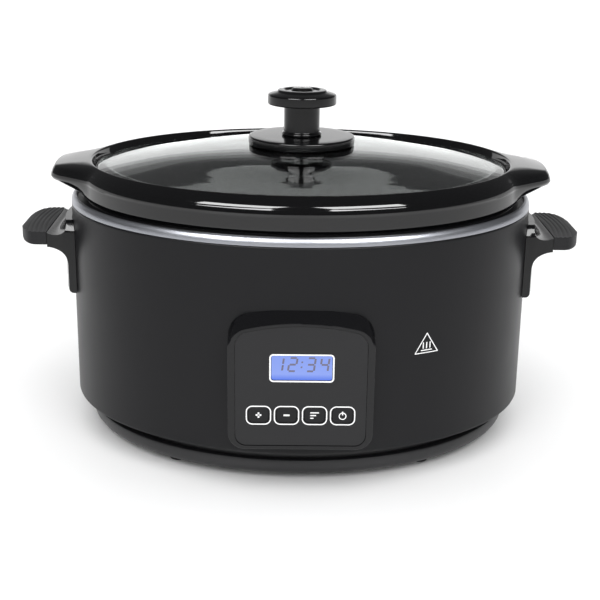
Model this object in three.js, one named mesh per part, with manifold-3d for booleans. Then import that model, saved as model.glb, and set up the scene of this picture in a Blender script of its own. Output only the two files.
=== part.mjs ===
// Oval slow cooker: painted steel body on a base tray, heating liner, control panel,
// side handles, lift-out stoneware pot and glass lid with a knob.
// Millimetres, +Z up. Origin under the middle of the body at the height of the feet's soles.
// +X runs along the long side, the control panel faces -Y.
import * as THREE from 'three';
import { mergeVertices } from 'three/addons/utils/BufferGeometryUtils.js';
import Module from 'manifold-3d';

// Driving dimensions
const SHELL_HALF_LENGTH = 165;
const SHELL_HALF_DEPTH = 138.6;
const SHELL_BOTTOM = 25;
const SHELL_TOP = 165;
const SHEET = 1;
const GAP = 0.3;
const OVAL_SEGMENTS = 36;

const FOOT_RADIUS = 6;
const FOOT_SPREAD_X = 84;
const FOOT_SPREAD_Y = 91;

const TRAY_BOTTOM = 4;
const TRAY_HALF_LENGTH = 155;
const TRAY_RING_TOP = 15.8;
const TRAY_NECK = 150.3;
const TRAY_FLOOR_TOP = 7;
const TRAY_DISH_TOP = 12;
const TRAY_DISH_BOTTOM = 9;

const LINER_HALF_LENGTH = 148.3;
const LINER_BOTTOM = 32;
const LINER_SHEET = 0.8;

const BAND_TOP = 171;
const BAND_BEAD_TOP = 172.7;

const POT_RIM = 158;
const POT_RIM_BOTTOM = 173;
const POT_RIM_TOP = 195;
const POT_SEAT = 187;
const POT_RECESS = 147.8;
const POT_LUG_TIP = 181;
const POT_LUG_ROOT = 153;
const POT_LUG_BOTTOM = 184;

const LID_HALF_LENGTH = 147.2;
const LID_EDGE = 190;
const LID_APEX = 206;
const LID_GLASS = 4;
const LID_HOLE_RADIUS = 5;

const KNOB_FLANGE_RADIUS = 38.1;
const KNOB_FLANGE_TOP = 211.3;
const KNOB_STEM_RADIUS = 12.8;
const KNOB_CAP_RADIUS = 24.5;
const KNOB_CAP_BOTTOM = 233.5;
const KNOB_TOP = 245;

const PANEL_FRONT = -146;
const PANEL_WIDTH = 94.7;
const PANEL_BOTTOM = 32;
const PANEL_TOP = 126;
const PANEL_CORNER = 11;
const PANEL_ARCH_RADIUS = 155;
const HOOD_DEPTH = 8;
const FACE_WIDTH = 84;
const FACE_BOTTOM = 34.7;
const FACE_TOP = 115.8;
const FACE_CORNER = 7;
const FACE_FRONT = PANEL_FRONT + 0.5;
const FACE_THICKNESS = 2;
const NECK_WIDTH = 84;
const BOARD_FRONT = -134;
const BOARD_THICKNESS = 1.6;
const POWER_BOARD_TOP = 12.6;
const BOARD_TOP_PARTS = POWER_BOARD_TOP + GAP;

const WINDOW_WIDTH = 38.7;
const WINDOW_HEIGHT = 16.3;
const WINDOW_CENTRE_X = 0.4;
const WINDOW_CENTRE_Z = 88;
const KEY_NAMES = ['plus', 'minus', 'mode', 'power'];
const KEY_PITCH = 18;
const KEY_WIDTH = 13.3;
const KEY_HEIGHT = 10.1;
const KEY_CORNER = 3;
const KEY_CENTRE_Z = 55.6;

const HANDLE_REACH = 202.5;
const HANDLE_HALF_WIDTH = 37;
const HANDLE_PLATE = 171;
const HANDLE_PLATE_BOTTOM = 101.5;
const HANDLE_PLATE_KNEE = 122;
const HANDLE_CORNER = 18;
const HANDLE_UNDERSIDE = 136;
const HANDLE_TOP = 146.5;
const HANDLE_SCREW_HEIGHTS = { lower: 106, upper: 144 };
const PAD_INNER = 179.3;
const TONGUE_END = 192;
const PAD_UNDERSIDE = 137.6;
const RIB_COUNT = 5;
const RIB_DEPTH = 0.8;

const GLAND_HEIGHT = 42;
const GLAND_END = 146;
const GLAND_BORE = 3.5;

// The body is oval near its walls and round under the knob, so a ring's depth
// follows from its half length: near the walls it is shorter by a fixed amount.
const OVAL_DIFFERENCE = SHELL_HALF_LENGTH - SHELL_HALF_DEPTH;
const ROUND_WITHIN = 40;
const OVAL_BEYOND = 118;

const wasm = await Module();
wasm.setup();

// Colours and finishes
function finish(color, roughness, metalness) {
  return new THREE.MeshStandardMaterial({ color, roughness, metalness });
}

const PAINTED_STEEL = finish(0x1f1f21, 0.45, 0.2);
const BARE_ALUMINIUM = finish(0xb4b6bc, 0.35, 1);
const ZINC_STEEL = finish(0x9a9da3, 0.4, 1);
const GLOSS_PLASTIC = finish(0x111113, 0.12, 0);
const SATIN_PLASTIC = finish(0x2a2a2c, 0.45, 0);
const RUBBER = finish(0x171717, 0.85, 0);
const GLAZED_STONEWARE = finish(0x0c0c0e, 0.07, 0);
const CLEAR_GLASS = finish(0xd7dde0, 0.04, 0);
const DISPLAY_BLUE = finish(0x91a7fa, 0.3, 0);
const BOARD_GREEN = finish(0x1f5a38, 0.5, 0);
const MICA = finish(0x9b8c72, 0.8, 0);
const SILICONE = finish(0x8a3a2a, 0.7, 0);
const WIRE_WHITE = finish(0xe5e2da, 0.6, 0);

// Solids and cuts
function toSolid(geometry) {
  const bare = geometry.index ? geometry.clone() : mergeVertices(geometry);
  bare.deleteAttribute('normal');
  bare.deleteAttribute('uv');
  const merged = mergeVertices(bare, 1e-4);
  const triVerts = [];
  for (let i = 0; i < merged.index.count; i += 3) {
    const [a, b, c] = [0, 1, 2].map((k) => merged.index.getX(i + k));
    if (a !== b && b !== c && c !== a) triVerts.push(a, b, c);
  }
  const vertProperties = new Float32Array(merged.attributes.position.array);
  const mesh = new wasm.Mesh({ numProp: 3, vertProperties, triVerts: new Uint32Array(triVerts) });
  return new wasm.Manifold(mesh);
}

function toGeometry(solid) {
  const mesh = solid.getMesh();
  const geometry = new THREE.BufferGeometry();
  geometry.setAttribute('position', new THREE.BufferAttribute(mesh.vertProperties, 3));
  geometry.setIndex(new THREE.BufferAttribute(mesh.triVerts, 1));
  return geometry;
}

function cut(geometry, ...tools) {
  return toGeometry(tools.reduce((solid, tool) => solid.subtract(toSolid(tool)), toSolid(geometry)));
}

function join(geometry, ...others) {
  return toGeometry(others.reduce((solid, other) => solid.add(toSolid(other)), toSolid(geometry)));
}

function common(geometry, other) {
  return toGeometry(toSolid(geometry).intersect(toSolid(other)));
}

// A profile is a list of [half length, height] going anticlockwise.
function roundLathe(profile, segments) {
  const points = profile.map(([radius, height]) => new THREE.Vector2(radius, height));
  return new THREE.LatheGeometry(points, segments).rotateX(Math.PI / 2);
}

function ovalDepth(halfLength) {
  const share = THREE.MathUtils.smoothstep(halfLength, ROUND_WITHIN, OVAL_BEYOND);
  return halfLength - share * OVAL_DIFFERENCE;
}

function ovalLathe(profile, segments = OVAL_SEGMENTS) {
  const geometry = roundLathe(profile, segments);
  const position = geometry.attributes.position;
  for (let i = 0; i < position.count; i += 1) {
    const halfLength = Math.hypot(position.getX(i), position.getY(i));
    if (halfLength > 0) position.setY(i, position.getY(i) * ovalDepth(halfLength) / halfLength);
  }
  return geometry;
}

function ring(profile) {
  return [...profile, profile[0]];
}

function ovalPlug(halfLength, bottom, top) {
  return ovalLathe([[0, bottom], [halfLength, bottom], [halfLength, top], [0, top]]);
}

function rod(radius, length, segments = 16) {
  return roundLathe([[0, 0], [radius, 0], [radius, length], [0, length]], segments);
}

function alongX(geometry, x, y, z) {
  return geometry.rotateY(Math.PI / 2).translate(x, y, z);
}

function alongY(geometry, x, y, z) {
  return geometry.rotateX(-Math.PI / 2).translate(x, y, z);
}

function box(xs, ys, zs) {
  const size = [xs, ys, zs].map(([low, high]) => high - low);
  const centre = [xs, ys, zs].map(([low, high]) => (low + high) / 2);
  return new THREE.BoxGeometry(...size).translate(...centre);
}

// Shapes drawn in X and Z, extruded along Y from front to back
function extrudeBack(shape, front, back, curveSegments = 5) {
  const depth = back - front;
  const geometry = new THREE.ExtrudeGeometry(shape, { depth, bevelEnabled: false, curveSegments });
  return geometry.rotateX(Math.PI / 2).translate(0, back, 0);
}

function extrudeUp(shape, bottom, top, curveSegments = 5) {
  const depth = top - bottom;
  const geometry = new THREE.ExtrudeGeometry(shape, { depth, bevelEnabled: false, curveSegments });
  return geometry.translate(0, 0, bottom);
}

function roundedRectangle(centreX, centreY, width, height, corner) {
  const [left, right] = [centreX - width / 2, centreX + width / 2];
  const [low, high] = [centreY - height / 2, centreY + height / 2];
  const shape = new THREE.Shape();
  shape.moveTo(left + corner, low);
  shape.lineTo(right - corner, low);
  shape.absarc(right - corner, low + corner, corner, -Math.PI / 2, 0);
  shape.lineTo(right, high - corner);
  shape.absarc(right - corner, high - corner, corner, 0, Math.PI / 2);
  shape.lineTo(left + corner, high);
  shape.absarc(left + corner, high - corner, corner, Math.PI / 2, Math.PI);
  shape.lineTo(left, low + corner);
  shape.absarc(left + corner, low + corner, corner, Math.PI, 1.5 * Math.PI);
  return shape;
}

// Flat bottom with round corners, and a low round arch that turns down at its ends
function archedPanel(width, bottom, top, corner) {
  const half = width / 2;
  const end = half - corner;
  const drop = end ** 2 / (2 * PANEL_ARCH_RADIUS);
  const turn = top - drop - corner * end / PANEL_ARCH_RADIUS;
  const shape = new THREE.Shape();
  shape.moveTo(-end, bottom);
  shape.lineTo(end, bottom);
  shape.absarc(end, bottom + corner, corner, -Math.PI / 2, 0);
  shape.lineTo(half, turn - corner);
  shape.quadraticCurveTo(half, turn, end, top - drop);
  shape.quadraticCurveTo(0, top + drop, -end, top - drop);
  shape.quadraticCurveTo(-half, turn, -half, turn - corner);
  shape.lineTo(-half, bottom + corner);
  shape.absarc(-end, bottom + corner, corner, Math.PI, 1.5 * Math.PI);
  return shape;
}

function screw(headRadius, headHeight, shankRadius, length) {
  const profile = [[0, 0], [headRadius, 0], [headRadius, headHeight]];
  return roundLathe([...profile, [shankRadius, headHeight], [shankRadius, length], [0, length]], 8);
}

// Body: base tray, feet, shell, rim band
function baseTray() {
  const profile = ring([
    [3.6, TRAY_DISH_BOTTOM], [22, TRAY_DISH_BOTTOM], [26, TRAY_BOTTOM], [148, TRAY_BOTTOM],
    [152, 5.2], [154.3, 8], [TRAY_HALF_LENGTH, 11.4], [TRAY_HALF_LENGTH, 14.6],
    [153.8, TRAY_RING_TOP], [TRAY_NECK, TRAY_RING_TOP], [TRAY_NECK, SHELL_BOTTOM - GAP],
    [147.2, SHELL_BOTTOM - GAP], [147.2, 29], [145.3, 29], [145.3, TRAY_FLOOR_TOP],
    [27.5, TRAY_FLOOR_TOP], [23.5, TRAY_DISH_TOP], [3.6, TRAY_DISH_TOP],
  ]);
  const footHoles = footPlaces().map(({ x, y }) => rod(2.8, 6, 12).translate(x, y, TRAY_BOTTOM - 1));
  const slots = [];
  for (const side of [-1, 1]) {
    for (let i = -2; i <= 2; i += 1) {
      const centre = side * 62;
      slots.push(box([i * 12 - 2, i * 12 + 2], [centre - 14, centre + 14], [3, 8]));
    }
  }
  return cut(ovalLathe(profile), ...footHoles, ...slots);
}

function footPlaces() {
  const places = [];
  for (const [depthName, y] of [['front', -FOOT_SPREAD_Y], ['rear', FOOT_SPREAD_Y]]) {
    for (const [sideName, x] of [['left', -FOOT_SPREAD_X], ['right', FOOT_SPREAD_X]]) {
      places.push({ name: `foot_${depthName}_${sideName}`, x, y });
    }
  }
  return places;
}

function foot() {
  return roundLathe([
    [0, 0], [FOOT_RADIUS - 0.6, 0], [FOOT_RADIUS, 0.6], [FOOT_RADIUS, TRAY_BOTTOM - GAP],
    [2.4, TRAY_BOTTOM - GAP], [2.4, 7.4], [3.6, 7.4], [2.2, 9.4], [0, 9.4],
  ], 12);
}

function outerShell() {
  const [outer, inner] = [SHELL_HALF_LENGTH, SHELL_HALF_LENGTH - SHEET];
  const profile = ring([
    [147.6, SHELL_BOTTOM], [outer, SHELL_BOTTOM], [outer, SHELL_TOP], [154, SHELL_TOP],
    [154, SHELL_TOP - SHEET], [inner, SHELL_TOP - SHEET], [inner, SHELL_BOTTOM + SHEET],
    [147.6, SHELL_BOTTOM + SHEET],
  ]);
  const panelHole = extrudeBack(panelNeck(0.4), -160, -120);
  const glandHole = alongY(rod(7.9, 30), 0, 120, GLAND_HEIGHT);
  const screwHoles = [];
  for (const height of Object.values(HANDLE_SCREW_HEIGHTS)) {
    screwHoles.push(alongX(rod(2.1, 340, 10), -170, 0, height));
  }
  return cut(ovalLathe(profile), panelHole, glandHole, ...screwHoles);
}

function rimBand() {
  return ovalLathe(ring([
    [162.6, SHELL_TOP + GAP], [SHELL_HALF_LENGTH, SHELL_TOP + GAP], [SHELL_HALF_LENGTH, 167.2],
    [163.9, 169.6], [161.5, BAND_TOP], [157, BAND_TOP], [156, BAND_BEAD_TOP],
    [150.5, BAND_BEAD_TOP], [149.5, 171.7], [149.5, 166.4], [150.7, 166.4], [150.7, 171.4],
    [155.3, 171.4], [156.3, 169.8], [161.2, 169.8], [162.9, 168.6], [163.8, 166.8],
    [162.6, 166.5],
  ]));
}

// Heating: liner, heater band, shield, clamping stud, sensors
function heatingLiner() {
  const flange = SHELL_TOP + GAP;
  const wall = LINER_HALF_LENGTH;
  const inner = wall - LINER_SHEET;
  return ovalLathe([
    [0, LINER_BOTTOM], [134, LINER_BOTTOM], [144, 35], [wall, 44], [wall, flange],
    [161, flange], [161, flange + LINER_SHEET], [inner, flange + LINER_SHEET], [inner, 44.2],
    [143.4, 35.7], [133.8, LINER_BOTTOM + LINER_SHEET], [0, LINER_BOTTOM + LINER_SHEET],
  ]);
}

function heaterBand() {
  const inner = LINER_HALF_LENGTH + GAP;
  return ovalLathe(ring([[inner, 56], [inner + 2.4, 56], [inner + 2.4, 112], [inner, 112]]));
}

function heatShield() {
  return ovalLathe(ring([
    [3.6, 28.5], [122, 28.5], [126, 25], [127, 25], [127, 25.8], [122.4, 29.3], [3.6, 29.3],
  ]));
}

function linerStud() {
  return roundLathe([
    [0, 4.4], [3, 4.4], [3, 30.2], [8, 30.2], [8, LINER_BOTTOM - GAP], [0, LINER_BOTTOM - GAP],
  ], 16);
}

function hexNut(acrossCorners, boreRadius, height) {
  const nut = new THREE.CylinderGeometry(acrossCorners / 2, acrossCorners / 2, height, 6);
  return cut(nut.rotateX(Math.PI / 2), rod(boreRadius, height + 2).translate(0, 0, -height / 2 - 1));
}

function washer(outerRadius, boreRadius, bottom, top) {
  return roundLathe(ring([[boreRadius, bottom], [outerRadius, bottom], [outerRadius, top],
    [boreRadius, top]]), 16);
}

function sensorBracket() {
  const leg = box([44, 56], [-6, 6], [TRAY_FLOOR_TOP + GAP, 8.6]);
  const post = box([53, 54.4], [-6, 6], [8, 20]);
  const arm = box([38, 54.4], [-6, 6], [18.8, 20]);
  return join(leg, post, arm);
}

// Electronics
function controlBoard() {
  const back = BOARD_FRONT + BOARD_THICKNESS;
  const board = box([-37, 37], [BOARD_FRONT, back], [40, 104]);
  const holes = boardScrewPlaces().map(({ x, z }) => alongY(rod(1.7, 8, 10), x, BOARD_FRONT - 3, z));
  return cut(board, ...holes);
}

function boardScrewPlaces() {
  const places = [];
  for (const [levelName, z] of [['lower', 44], ['upper', 99]]) {
    for (const [sideName, x] of [['left', -33], ['right', 33]]) {
      places.push({ name: `board_screw_${levelName}_${sideName}`, x, z });
    }
  }
  return places;
}

function boardScrew({ x, z }) {
  const head = BOARD_FRONT + BOARD_THICKNESS + GAP + 1.6;
  return screw(2.6, 1.6, 1.3, 7).rotateX(Math.PI / 2).translate(x, head, z);
}

function tactSwitch(x) {
  const body = box([x - 3, x + 3], [-137.8, BOARD_FRONT - GAP], [KEY_CENTRE_Z - 3, KEY_CENTRE_Z + 3]);
  return join(body, alongY(rod(1.7, 1.4, 12), x, -138.6, KEY_CENTRE_Z));
}

function displayModule() {
  const [halfWidth, halfHeight] = [WINDOW_WIDTH / 2 + 2.5, WINDOW_HEIGHT / 2 + 2.5];
  return box(
    [WINDOW_CENTRE_X - halfWidth, WINDOW_CENTRE_X + halfWidth],
    [FACE_FRONT + FACE_THICKNESS + GAP, BOARD_FRONT - GAP],
    [WINDOW_CENTRE_Z - halfHeight, WINDOW_CENTRE_Z + halfHeight],
  );
}

function powerBoard() {
  const board = box([-45, 45], [48, 92], [POWER_BOARD_TOP - BOARD_THICKNESS, POWER_BOARD_TOP]);
  const legs = [];
  for (const x of [-41, 41]) {
    for (const y of [52, 88]) legs.push(rod(2, 4.2, 8).translate(x, y, TRAY_FLOOR_TOP + GAP));
  }
  return join(board, ...legs);
}

// Wires: tubes of round section along a smooth path
function wire(points, radius, steps) {
  const path = new THREE.CatmullRomCurve3(points.map((point) => new THREE.Vector3(...point)));
  const section = new THREE.Shape().absarc(0, 0, radius, 0, 2 * Math.PI);
  return new THREE.ExtrudeGeometry(section, { steps, extrudePath: path, curveSegments: 3 });
}

// Flat cable from the back of the control board, over the tray's lip and under the heat shield
function ribbonCable() {
  const route = [
    [-131.5, 62], [-128.8, 46], [-126, 36], [-121, 30.8], [-115.5, 29.4], [-111, 22], [-104, 15.5],
    [-90, 14], [0, 14], [44, 12.4],
  ];
  const path = new THREE.CatmullRomCurve3(route.map(([y, z]) => new THREE.Vector3(20, y, z)));
  const section = new THREE.Shape();
  section.moveTo(-5, -0.3);
  section.lineTo(5, -0.3);
  section.lineTo(5, 0.3);
  section.lineTo(-5, 0.3);
  return new THREE.ExtrudeGeometry(section, { steps: 30, extrudePath: path });
}

function cordGland() {
  const wallOuter = SHELL_HALF_DEPTH + GAP;
  const profile = ring([
    [GLAND_BORE, 130], [7.4, 130], [7.4, wallOuter], [11, wallOuter], [11, 141], [9.8, 142],
    [7.4, 142.4], [6, GLAND_END], [GLAND_BORE, GLAND_END],
  ]);
  return alongY(roundLathe(profile, 16), 0, 0, GLAND_HEIGHT);
}

// Control panel: frame, face plate, window, keys
function panelNeck(clearance) {
  const width = NECK_WIDTH + 2 * clearance;
  return archedPanel(width, FACE_BOTTOM - clearance, FACE_TOP + clearance, FACE_CORNER);
}

function panelFrame() {
  const outline = archedPanel(PANEL_WIDTH, PANEL_BOTTOM, PANEL_TOP, PANEL_CORNER);
  const overShell = cut(extrudeBack(outline, PANEL_FRONT, -125), ovalPlug(165.3, 20, 140));
  const neck = extrudeBack(panelNeck(0), PANEL_FRONT + 3, -130);
  const inside = archedPanel(NECK_WIDTH - 4, FACE_BOTTOM + 2, FACE_TOP - 2, FACE_CORNER - 2);
  const seat = archedPanel(FACE_WIDTH + 2 * GAP, FACE_BOTTOM - GAP, FACE_TOP + GAP, FACE_CORNER);
  const seatBack = FACE_FRONT + FACE_THICKNESS + GAP;
  const hollow = cut(join(overShell, neck), extrudeBack(inside, -150, -120),
    extrudeBack(seat, -150, seatBack));
  const posts = boardScrewPlaces().map(({ x, z }) => {
    const side = Math.sign(x);
    const reach = [x - side * 3.4, side * 41].sort((a, b) => a - b);
    return box(reach, [seatBack, BOARD_FRONT - GAP], [z - 3.4, z + 3.4]);
  });
  const bores = boardScrewPlaces().map(({ x, z }) => alongY(rod(1.6, 6, 10), x, -139.4, z));
  return cut(join(hollow, ...posts), ...bores, hoodCut());
}

// What is cut away above the arch, so that the frame's top leans back to the shell like a hood
function hoodCut() {
  const back = PANEL_FRONT + HOOD_DEPTH;
  const [near, far] = [FACE_TOP + 1 - PANEL_TOP, 0].map((rise) => PANEL_ARCH_RADIUS + rise);
  const profile = ring([
    [near - 0.6, PANEL_FRONT - 2], [far + 20, PANEL_FRONT - 2], [far + 20, back], [far, back],
    [far - 1.6, PANEL_FRONT + 4], [far - 5, PANEL_FRONT + 1.3], [near, PANEL_FRONT],
  ]);
  return alongY(roundLathe(profile, 90), 0, 0, PANEL_TOP - PANEL_ARCH_RADIUS);
}

function keyPlaces() {
  return KEY_NAMES.map((name, i) => ({ name: `key_${name}`, x: (i - 1.5) * KEY_PITCH }));
}

function facePlate() {
  const outline = archedPanel(FACE_WIDTH, FACE_BOTTOM, FACE_TOP, FACE_CORNER);
  const plate = extrudeBack(outline, FACE_FRONT, FACE_FRONT + FACE_THICKNESS);
  const holes = keyPlaces().map(({ x }) => roundedRectangle(
    x, KEY_CENTRE_Z, KEY_WIDTH + 2 * GAP, KEY_HEIGHT + 2 * GAP, KEY_CORNER + GAP,
  ));
  holes.push(windowOutline(GAP));
  return cut(plate, ...holes.map((hole) => extrudeBack(hole, -150, -140, 2)));
}

function windowOutline(clearance) {
  const [width, height] = [WINDOW_WIDTH + 2 * clearance, WINDOW_HEIGHT + 2 * clearance];
  return roundedRectangle(WINDOW_CENTRE_X, WINDOW_CENTRE_Z, width, height, 1.5);
}

function displayWindow() {
  return extrudeBack(windowOutline(0), FACE_FRONT + 0.2, FACE_FRONT + FACE_THICKNESS, 3);
}

function key(x) {
  const back = FACE_FRONT + FACE_THICKNESS;
  const cap = roundedRectangle(x, KEY_CENTRE_Z, KEY_WIDTH, KEY_HEIGHT, KEY_CORNER);
  const collar = roundedRectangle(x, KEY_CENTRE_Z, KEY_WIDTH + 2.4, KEY_HEIGHT + 2.4, KEY_CORNER);
  return join(
    extrudeBack(cap, FACE_FRONT + 0.2, back + 1, 2),
    extrudeBack(collar, back + GAP, back + GAP + 1, 1),
    alongY(rod(1.8, 3.4, 8), x, back + 0.5, KEY_CENTRE_Z),
  );
}

// Handles: the right one, turned half a turn for the left one
function handlePlan() {
  const [half, corner] = [HANDLE_HALF_WIDTH, HANDLE_CORNER];
  const plan = new THREE.Shape();
  plan.moveTo(150, -half);
  plan.lineTo(HANDLE_REACH - corner, -half);
  plan.absarc(HANDLE_REACH - corner, -half + corner, corner, -Math.PI / 2, 0);
  plan.lineTo(HANDLE_REACH, half - corner);
  plan.absarc(HANDLE_REACH - corner, half - corner, corner, 0, Math.PI / 2);
  plan.lineTo(150, half);
  return plan;
}

function handleSide() {
  const side = new THREE.Shape();
  side.moveTo(150, HANDLE_PLATE_BOTTOM);
  side.lineTo(HANDLE_PLATE - 3, HANDLE_PLATE_BOTTOM);
  side.quadraticCurveTo(HANDLE_PLATE, HANDLE_PLATE_BOTTOM, HANDLE_PLATE, HANDLE_PLATE_BOTTOM + 4);
  side.lineTo(HANDLE_PLATE, HANDLE_PLATE_KNEE);
  side.quadraticCurveTo(HANDLE_PLATE, HANDLE_UNDERSIDE, PAD_INNER - GAP, HANDLE_UNDERSIDE);
  side.lineTo(PAD_INNER - GAP, HANDLE_TOP);
  side.quadraticCurveTo(175, 142.5, 171.5, 147.5);
  side.quadraticCurveTo(170, 150, 169.5, 154);
  side.lineTo(150, 154);
  return side;
}

// The tongue on the grip's end, and the slot in the pad that is pushed over it
function tongue(clearance) {
  return box([PAD_INNER - 2, TONGUE_END + clearance], [-29 - clearance, 29 + clearance],
    [139.8 - clearance, 142.8 + clearance]);
}

function handle() {
  const block = common(
    extrudeBack(handleSide(), -HANDLE_HALF_WIDTH, HANDLE_HALF_WIDTH, 6),
    extrudeUp(handlePlan(), 90, 160, 6),
  );
  const body = ovalPlug(SHELL_HALF_LENGTH + GAP, 80, 160);
  const bores = Object.values(HANDLE_SCREW_HEIGHTS).map((z) => alongX(rod(1.7, 11, 8), 158.6, 0, z));
  return cut(join(block, tongue(0)), body, ...bores);
}

function padSide() {
  const side = new THREE.Shape();
  const ribStart = HANDLE_REACH - 2.5;
  const pitch = (ribStart - PAD_INNER) / RIB_COUNT;
  side.moveTo(PAD_INNER, PAD_UNDERSIDE);
  side.lineTo(197, PAD_UNDERSIDE + 0.4);
  side.quadraticCurveTo(HANDLE_REACH, PAD_UNDERSIDE + 1, HANDLE_REACH, 142);
  side.quadraticCurveTo(HANDLE_REACH, 145.4, ribStart, HANDLE_TOP - RIB_DEPTH);
  for (let i = 0; i < RIB_COUNT; i += 1) {
    const start = ribStart - i * pitch;
    side.lineTo(start - 0.3 * pitch, HANDLE_TOP);
    side.lineTo(start - 0.7 * pitch, HANDLE_TOP);
    side.lineTo(start - pitch, HANDLE_TOP - RIB_DEPTH);
  }
  return side;
}

function handlePad() {
  const block = common(
    extrudeBack(padSide(), -HANDLE_HALF_WIDTH, HANDLE_HALF_WIDTH),
    extrudeUp(handlePlan(), PAD_UNDERSIDE - 1, 160, 6),
  );
  return cut(block, tongue(GAP));
}

function handleScrew(height) {
  return alongX(screw(4, 2.4, 1.4, 8.2), 161.2, 0, height);
}

// Stoneware pot: oval crock with a rolled rim, a lid recess and a lifting lug at each end
function stonewarePot() {
  const crock = ovalLathe([
    [0, 38], [120, 38], [132, 40.5], [138.5, 48], [144.2, 150], [144.6, 170], [147.8, POT_RIM_BOTTOM],
    [156.6, POT_RIM_BOTTOM], [POT_RIM, 175], [POT_RIM, 186.5], [157.2, 190.6], [155.2, 193.6],
    [152.6, POT_RIM_TOP], [149.8, 194.4], [148.2, 192], [POT_RECESS, 188.4], [146.9, POT_SEAT],
    [141, POT_SEAT], [138.6, 183.6], [136.4, 150], [131, 52], [124, 45.4], [112, 44], [0, 44],
  ]);
  return join(crock, potLug(1), potLug(-1));
}

function potLug(side) {
  const plan = new THREE.Shape();
  const arc = 0.42;
  const steps = 6;
  for (let i = 0; i <= steps; i += 1) {
    const angle = arc - 2 * arc * i / steps;
    const x = side * POT_LUG_ROOT * Math.cos(angle);
    const y = side * ovalDepth(POT_LUG_ROOT) * Math.sin(angle);
    if (i === 0) plan.moveTo(x, y);
    else plan.lineTo(x, y);
  }
  const tip = side * POT_LUG_TIP;
  plan.bezierCurveTo(side * 162, side * -40, side * 170, side * -36, side * 176, side * -28);
  plan.bezierCurveTo(side * 180, side * -22, tip, side * -12, tip, 0);
  plan.bezierCurveTo(tip, side * 12, side * 180, side * 22, side * 176, side * 28);
  plan.bezierCurveTo(side * 170, side * 36, side * 162, side * 40, plan.curves[0].v1.x, plan.curves[0].v1.y);
  return extrudeUp(plan, POT_LUG_BOTTOM, POT_RIM_TOP - 1.4, 4);
}

// Lid: domed glass with a ground edge, knob fixed through a hole in the middle
function lidTop(halfLength) {
  return LID_APEX - (LID_APEX - LID_EDGE) * (halfLength / LID_HALF_LENGTH) ** 2;
}

function glassLid() {
  const stations = [LID_HOLE_RADIUS, 40, 70, 98, 122, 138];
  const under = stations.map((halfLength) => [halfLength, lidTop(halfLength) - LID_GLASS]);
  const over = stations.map((halfLength) => [halfLength, lidTop(halfLength)]).reverse();
  const edge = [
    [144, POT_SEAT + GAP], [LID_HALF_LENGTH - 0.6, POT_SEAT + GAP], [LID_HALF_LENGTH, 188.2],
    [LID_HALF_LENGTH, 189.4], [LID_HALF_LENGTH - 0.8, LID_EDGE + 0.1],
  ];
  return ovalLathe(ring([...under, ...edge, ...over]));
}

function knobFlange() {
  const seat = LID_APEX + GAP;
  return roundLathe(ring([
    [3.4, seat], [20, seat], [KNOB_FLANGE_RADIUS - 1.4, seat + 0.5], [KNOB_FLANGE_RADIUS, seat + 2.2],
    [KNOB_FLANGE_RADIUS, seat + 3], [KNOB_FLANGE_RADIUS - 1.6, KNOB_FLANGE_TOP - 0.6],
    [30, KNOB_FLANGE_TOP], [3.4, KNOB_FLANGE_TOP],
  ]), 28);
}

function knobStem() {
  const [bottom, top] = [KNOB_FLANGE_TOP + GAP, KNOB_CAP_BOTTOM - GAP];
  return roundLathe([
    [3.2, bottom], [KNOB_STEM_RADIUS + 0.8, bottom], [KNOB_STEM_RADIUS, bottom + 2],
    [KNOB_STEM_RADIUS, top], [8, top], [8, top + 3], [0, top + 3], [0, top - 2], [3.2, top - 2],
    [3.2, bottom],
  ], 24);
}

function knobCap() {
  const bottom = KNOB_CAP_BOTTOM;
  return roundLathe([
    [0, bottom + 3.2], [8.4, bottom + 3.2], [8.4, bottom], [22.6, bottom], [KNOB_CAP_RADIUS, bottom + 1.6],
    [KNOB_CAP_RADIUS, bottom + 4.2], [23, bottom + 6], [17.6, bottom + 7.4], [17, bottom + 8.8],
    [12.4, bottom + 9.4], [11.8, bottom + 10.4], [7.2, bottom + 10.6], [6.6, KNOB_TOP], [0, KNOB_TOP],
  ], 28);
}

function knobScrew() {
  const head = LID_APEX - LID_GLASS - 4.6;
  return screw(6, 2.4, 2.8, 24).translate(0, 0, head);
}

// Assembly
const group = new THREE.Group();

function place(name, geometry, material, parent = group) {
  const mesh = new THREE.Mesh(geometry, material);
  mesh.name = name;
  parent.add(mesh);
  return mesh;
}

place('base_tray', baseTray(), SATIN_PLASTIC);
for (const { name, x, y } of footPlaces()) {
  place(name, foot(), RUBBER).position.set(x, y, 0);
}
place('outer_shell', outerShell(), PAINTED_STEEL);
place('rim_band', rimBand(), BARE_ALUMINIUM);

place('heating_liner', heatingLiner(), BARE_ALUMINIUM);
place('heater_band', heaterBand(), MICA);
place('heat_shield', heatShield(), ZINC_STEEL);
place('liner_stud', linerStud(), ZINC_STEEL);
place('stud_washer', washer(9, 3.4, 8, TRAY_DISH_BOTTOM - GAP), ZINC_STEEL);
place('stud_nut', hexNut(11, 3.3, 2.8), ZINC_STEEL).position.z = 6.2;
const fuse = place('thermal_fuse', rod(2.2, 14), ZINC_STEEL);
fuse.position.set(LINER_HALF_LENGTH + 5.4, -7, 70);
fuse.rotation.x = -Math.PI / 2;
place('sensor_bracket', sensorBracket(), ZINC_STEEL);
place('temperature_sensor', rod(3.2, 7.9), ZINC_STEEL).position.set(42, 0, 20 + GAP);

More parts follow.
